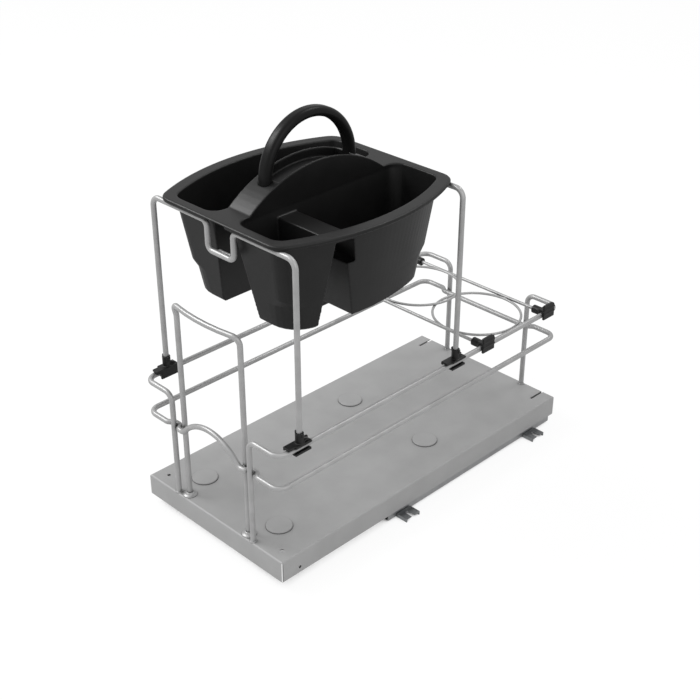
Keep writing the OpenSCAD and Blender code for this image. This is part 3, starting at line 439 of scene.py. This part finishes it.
def placed_forms_tree():
    """Sets a form on every point of a mesh, turned by the points' own attribute, sized within
    limits, and made a little lumpy where the real one is a bead of weld."""
    tree = bpy.data.node_groups.new("placed_forms", "GeometryNodeTree")
    face = tree.interface
    face.new_socket("Places", in_out="INPUT", socket_type="NodeSocketGeometry")
    face.new_socket("Form", in_out="INPUT", socket_type="NodeSocketObject")
    face.new_socket("Size", in_out="INPUT", socket_type="NodeSocketVector")
    face.new_socket("Least", in_out="INPUT", socket_type="NodeSocketFloat")
    face.new_socket("Most", in_out="INPUT", socket_type="NodeSocketFloat")
    face.new_socket("Lumpiness", in_out="INPUT", socket_type="NodeSocketFloat")
    face.new_socket("Seed", in_out="INPUT", socket_type="NodeSocketInt")
    face.new_socket("Finish", in_out="INPUT", socket_type="NodeSocketMaterial")
    face.new_socket("Forms", in_out="OUTPUT", socket_type="NodeSocketGeometry")
    given = add(tree, "NodeGroupInput").outputs
    form = add(tree, "GeometryNodeObjectInfo", {"Object": given["Form"]}, transform_space="ORIGINAL")
    turn = add(tree, "GeometryNodeInputNamedAttribute", {"Name": "turn"}, data_type="FLOAT_VECTOR")
    turned = add(tree, "FunctionNodeEulerToRotation", {"Euler": turn.outputs["Attribute"]})
    spread = add(tree, "FunctionNodeRandomValue",
                 {2: given["Least"], 3: given["Most"], "Seed": given["Seed"]}, data_type="FLOAT")
    sized = add(tree, "ShaderNodeVectorMath", {0: given["Size"], "Scale": spread.outputs[1]},
                operation="SCALE")
    copies = add(tree, "GeometryNodeInstanceOnPoints", {
        "Points": given["Places"], "Instance": form.outputs["Geometry"],
        "Rotation": turned.outputs["Rotation"], "Scale": sized.outputs[0]})
    real = add(tree, "GeometryNodeRealizeInstances", {"Geometry": copies.outputs[0]})
    # A bead's lumps are about 1.6 mm wide
    lumps = add(tree, "ShaderNodeTexNoise", {"Scale": 1 / (1.6 * MM), "Detail": 1.0})
    centred = add(tree, "ShaderNodeVectorMath", {0: lumps.outputs["Color"], 1: (0.5, 0.5, 0.5)},
                  operation="SUBTRACT")
    pushed = add(tree, "ShaderNodeVectorMath", {0: centred.outputs[0], "Scale": given["Lumpiness"]},
                 operation="SCALE")
    moved = add(tree, "GeometryNodeSetPosition",
                {"Geometry": real.outputs[0], "Offset": pushed.outputs[0]})
    smooth = add(tree, "GeometryNodeSetShadeSmooth", {"Geometry": moved.outputs[0]})
    painted = add(tree, "GeometryNodeSetMaterial",
                  {"Geometry": smooth.outputs[0], "Material": given["Finish"]})
    add(tree, "NodeGroupOutput", {"Forms": painted.outputs[0]})
    return tree


FORMS_TREE = placed_forms_tree()


def turned_form(name, profile, steps):
    """A form turned about Z from a profile of radius and height, in millimetres."""
    form = bmesh.new()
    rim = [form.verts.new((r * MM, 0, z * MM)) for r, z in profile]
    edges = [form.edges.new(pair) for pair in zip(rim, rim[1:])]
    bmesh.ops.spin(form, geom=rim + edges, cent=(0, 0, 0), axis=(0, 0, 1), angle=math.tau, steps=steps)
    bmesh.ops.remove_doubles(form, verts=form.verts, dist=0.001 * MM)
    bmesh.ops.recalc_face_normals(form, faces=form.faces)
    thing = made_mesh(name, [])
    form.to_mesh(thing.data)
    form.free()
    return thing


def placed(name, form, places, turns, body, slot, finish, nodes=(), size=(1, 1, 1), least=1.0, most=1.0,
           lumpiness=0.0, seed=1):
    """One plain mesh with the form at each place; the form itself is then removed."""
    thing = made_mesh(name, places)
    turn = thing.data.attributes.new("turn", "FLOAT_VECTOR", "POINT")
    for value, angles in zip(turn.data, turns):
        value.vector = angles
    with_tree(thing, FORMS_TREE, form=form, size=size, least=least, most=most,
              lumpiness=lumpiness * MM, seed=seed, finish=finish)
    bpy.data.objects.remove(form)
    return dressed(thing, body, slot, *nodes)


def beads(name, places, body, size, seed, lumpiness):
    """Weld beads at the places where two wires touch; size is a bead's three radii."""
    r = [math.radians(a) for a in range(-90, 91, 15)]
    ball = turned_form("bead", [(math.cos(a), math.sin(a)) for a in r], 24)
    level = [(0, 0, 0)] * len(places)
    return placed(name, ball, places, level, body, "wire_finish", WIRE_COAT, size=size, least=0.85,
                  most=1.1, lumpiness=lumpiness, seed=seed)


def welds(ring_x, ring_r, lift):
    """Every weld: rail on posts, rings on cross wires, posts on the tray."""
    front_touch = FRONT_Y + POST_IN + CROSS_OVER / 2
    handle_touch = HANDLE_Y - CROSS_OVER / 2
    rear_touch = REAR_Y - POST_IN - CROSS_OVER / 2
    crossings = [(s * x, y, LOWER_Z) for s in (-1, 1)
                 for x, y in ((POST_X, front_touch), (HANDLE_X, handle_touch), (POST_X, rear_touch))]
    beads("Rail_welds", crossings, "tray", size=(2.9, 1.3, 2.7), seed=3, lumpiness=0.5)
    ring_touch = ring_r + (RING_D - WELD_SINK) / 2
    # A ring's beads lie this share of the way from the cross wire's middle to the ring's
    toward_ring = 0.6
    on_cross = [(s * ring_x, HOLDER_Y + t * ring_touch, RAIL_Z - s * lift * toward_ring)
                for s in (-1, 1) for t in (-1, 1)]
    beads("Holder_welds", on_cross, "bottle_holder", size=(3.4, 1.2, 1.2), seed=5,
          lumpiness=0.4)
    feet = [(s * POST_X, y, TRAY_TOP) for s in (-1, 1) for y in (FRONT_Y + POST_IN, REAR_Y - POST_IN)]
    profile = [(0, -0.2), (3.9, -0.2), (3.9, 0.1), (3.5, 0.6), (3.2, 1.3), (0, 1.3)]
    placed("Post_foot_welds", turned_form("fillet", profile, 32), feet, [(0, 0, 0)] * len(feet),
           "tray", "wire_finish", WIRE_COAT, least=0.95, most=1.02, lumpiness=0.35, seed=7)


def collars():
    """Two soft-shouldered collars at the handle's feet."""
    play = 0.05
    bore = WIRE_D / 2 + play
    profile = [(bore, 0), (8.0, 0), (7.95, 0.5), (7.4, 0.95), (6.3, 1.35), (5.3, 2.1), (4.75, 3.1),
               (4.3, 3.8), (3.7, 4.0), (bore, 4.0), (bore, 0)]
    places = [(s * HANDLE_X, HANDLE_Y, TRAY_TOP) for s in (-1, 1)]
    placed("Handle_collars", turned_form("collar", profile, 48), places, [(0, 0, 0)] * 2, "tray",
           "wire_finish", WIRE_COAT, ["handle_collars"])


def rivets():
    """Eight domed rivets that hold the slides to the floor brackets."""
    shank, through = 1.5, 2.4
    profile = [(0, 1.0), (1.2, 0.95), (2.2, 0.7), (2.8, 0.3), (3.0, 0.0),
               (shank, 0.0), (shank, -through), (0, -through)]
    head_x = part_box("bracket_rivets")[1].x / MM - through
    spots = [(side, y + t * RIVET_PITCH / 2) for side in (-1, 1) for y in BRACKET_YS for t in (-1, 1)]
    places = [(side * head_x, y, RIVET_Z) for side, y in spots]
    turns = [(0, -side * math.pi / 2, 0) for side, y in spots]
    placed("Bracket_rivets", turned_form("rivet", profile, 28), places, turns, "base", "slide_steel",
           BRACKET_ZINC, ["bracket_rivets"])


def moulded(node, name, finish, body, slot, voxel, faces, rounds):
    """A moulded piece: the CAD form remade on a grid of voxels, given in millimetres, its edges
    softened in some rounds and its mesh thinned to about that many triangles."""
    thing = node_copy(node, name)
    thing.data.materials.clear()
    thing.data.materials.append(finish)
    skin = thing.modifiers.new("skin", "REMESH")
    skin.mode = "VOXEL"
    skin.voxel_size = voxel * MM * 1
    skin.use_smooth_shade = True
    soft = thing.modifiers.new("soft", "SMOOTH")
    soft.factor, soft.iterations = 0.5, rounds
    settled(thing)
    share = faces / max(1, 2 * len(thing.data.polygons))
    if share < 1:
        fewer = thing.modifiers.new("fewer", "DECIMATE")
        fewer.ratio = share
        settled(thing)
    for face in thing.data.polygons:
        face.use_smooth = True
    weights = thing.modifiers.new("weights", "WEIGHTED_NORMAL")
    weights.weight = 60
    settled(thing)
    return dressed(thing, body, slot, node)


def clips():
    """The eight rail clips."""
    fine = {"voxel": 0.4, "faces": 9000, "rounds": 2}
    for where, body in (("front", "front_support"), ("rear", "rear_support")):
        for side in ("left", "right"):
            moulded(f"{where}_clip_{side}", f"Support_clip_{where}_{side}", CLIP_NYLON, body,
                    "clip_plastic", **fine)
            moulded(f"holder_clip_{where}_{side}", f"Holder_clip_{where}_{side}", CLIP_NYLON,
                    "bottle_holder", "clip_plastic", **fine)


upper_rails()
lower_rail()
pull_handle()
supports()
welds(*holder_wires())
collars()
rivets()
clips()
moulded("caddy_tub", "Caddy_tub", TUB_PLASTIC, "caddy", "caddy_plastic",
        voxel=0.8, faces=190000, rounds=3)
moulded("caddy_grip", "Caddy_grip", GRIP_PLASTIC, "caddy", "grip_plastic",
        voxel=0.6, faces=40000, rounds=8)

# CAD nodes that stay, with their real finishes
KEPT = {
    "tray_pan": TRAY_COAT, "tray_slide_left": SLIDE_ZINC, "tray_slide_right": SLIDE_ZINC,
    "fixed_slide_left": SLIDE_ZINC, "fixed_slide_right": SLIDE_ZINC,
    "middle_slide_left": SLIDE_ZINC, "middle_slide_right": SLIDE_ZINC,
    "outer_cage_left": BRACKET_ZINC, "outer_cage_right": BRACKET_ZINC,
    "inner_cage_left": BRACKET_ZINC, "inner_cage_right": BRACKET_ZINC,
    "outer_balls": BALL_STEEL, "inner_balls": BALL_STEEL, "slide_end_stops": STOP_VINYL,
    "floor_bracket_front_left": BRACKET_ZINC, "floor_bracket_front_right": BRACKET_ZINC,
    "floor_bracket_rear_left": BRACKET_ZINC, "floor_bracket_rear_right": BRACKET_ZINC,
    "notch_clip_wire": WIRE_COAT,
}
for node, finish in KEPT.items():
    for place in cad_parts[node].material_slots:
        place.material = finish


def paper_floor():
    """White paper floor: full white to the eye, but true paper where the object closely covers it,
    so the ground under the tray is dark and the object keeps its shadow."""
    far = 9000
    floor = made_mesh("Floor", [(-far, -far, 0), (far, -far, 0), (far, far, 0), (-far, far, 0)],
                      faces=[(0, 1, 2, 3)])
    paper, tree = blank("white_studio_paper")
    seen = add(tree, "ShaderNodeLightPath").outputs
    glossy = add(tree, "ShaderNodeMath", {0: seen["Is Camera Ray"], 1: seen["Is Glossy Ray"]},
                 operation="MAXIMUM")
    glow = add(tree, "ShaderNodeMapRange", {
        "Value": seen["Is Glossy Ray"], "To Min": 1.02, "To Max": 0.55})
    any_view = add(tree, "ShaderNodeMath", {0: glossy.outputs[0], 1: seen["Is Transmission Ray"]},
                   operation="MAXIMUM")
    covered = add(tree, "ShaderNodeAmbientOcclusion", {"Distance": 60 * MM}, samples=8)
    open_share = add(tree, "ShaderNodeMapRange", {
        "Value": covered.outputs["AO"], "From Min": 0.12, "From Max": 0.4, "To Max": 0.88})
    share = add(tree, "ShaderNodeMath", {0: any_view.outputs[0], 1: open_share.outputs["Result"]},
                operation="MULTIPLY")
    matt = add(tree, "ShaderNodeBsdfDiffuse", {"Color": linear(PAPER_WHITE)})
    white = add(tree, "ShaderNodeEmission", {"Color": (1, 1, 1, 1), "Strength": glow.outputs["Result"]})
    both = add(tree, "ShaderNodeMixShader", {
        0: share.outputs[0], 1: matt.outputs[0], 2: white.outputs[0]})
    add(tree, "ShaderNodeOutputMaterial", {"Surface": both.outputs[0]})
    floor.data.materials.append(paper)


def white_room():
    """White room all round, dimmer as a light than to the eye."""
    world = bpy.data.worlds.new("studio")
    bpy.context.scene.world = world
    world.use_nodes = True
    tree = world.node_tree
    tree.nodes.clear()
    seen = add(tree, "ShaderNodeLightPath").outputs
    power = add(tree, "ShaderNodeMapRange", {
        "Value": seen["Is Camera Ray"], "To Min": 0.68, "To Max": 1.0})
    sky = add(tree, "ShaderNodeBackground", {"Color": (1, 1, 1, 1), "Strength": power.outputs["Result"]})
    add(tree, "ShaderNodeOutputWorld", {"Surface": sky.outputs[0]})


def soft_light(name, place, aim, size, watts):
    """A square soft box at a place in metres, aimed at a point."""
    lamp = bpy.data.lights.new(name, "AREA")
    lamp.shape, lamp.size, lamp.energy = "SQUARE", size, watts
    thing = bpy.data.objects.new(name, lamp)
    thing.location = place
    thing.rotation_euler = (Vector(aim) - Vector(place)).to_track_quat("-Z", "Y").to_euler()
    bpy.context.scene.collection.objects.link(thing)
    return thing


paper_floor()
white_room()
soft_light("Key", (-0.9, -1.6, 2.2), (0, 0, 0.2), size=1.4, watts=17)
soft_light("Fill", (1.9, -0.4, 1.3), (0, 0, 0.2), size=1.6, watts=7)
soft_light("Sheen", (-1.4, -0.8, 1.6), (0, -0.17, 0.38), size=0.7, watts=17)
soft_light("Edge", (0.3, 1.2, 1.95), (0, -0.08, 0.37), size=0.7, watts=8)

lens = bpy.data.cameras.new("Camera")
lens.lens, lens.sensor_width = 65.343, 36
camera = bpy.data.objects.new("Camera", lens)
camera.location = (0.8742, -0.8921, 0.8686)
camera.rotation_euler = [math.radians(a) for a in (60.073, 0, 45.043)]
bpy.context.scene.collection.objects.link(camera)
bpy.context.scene.camera = camera
bpy.context.scene.view_settings.view_transform = "Standard"
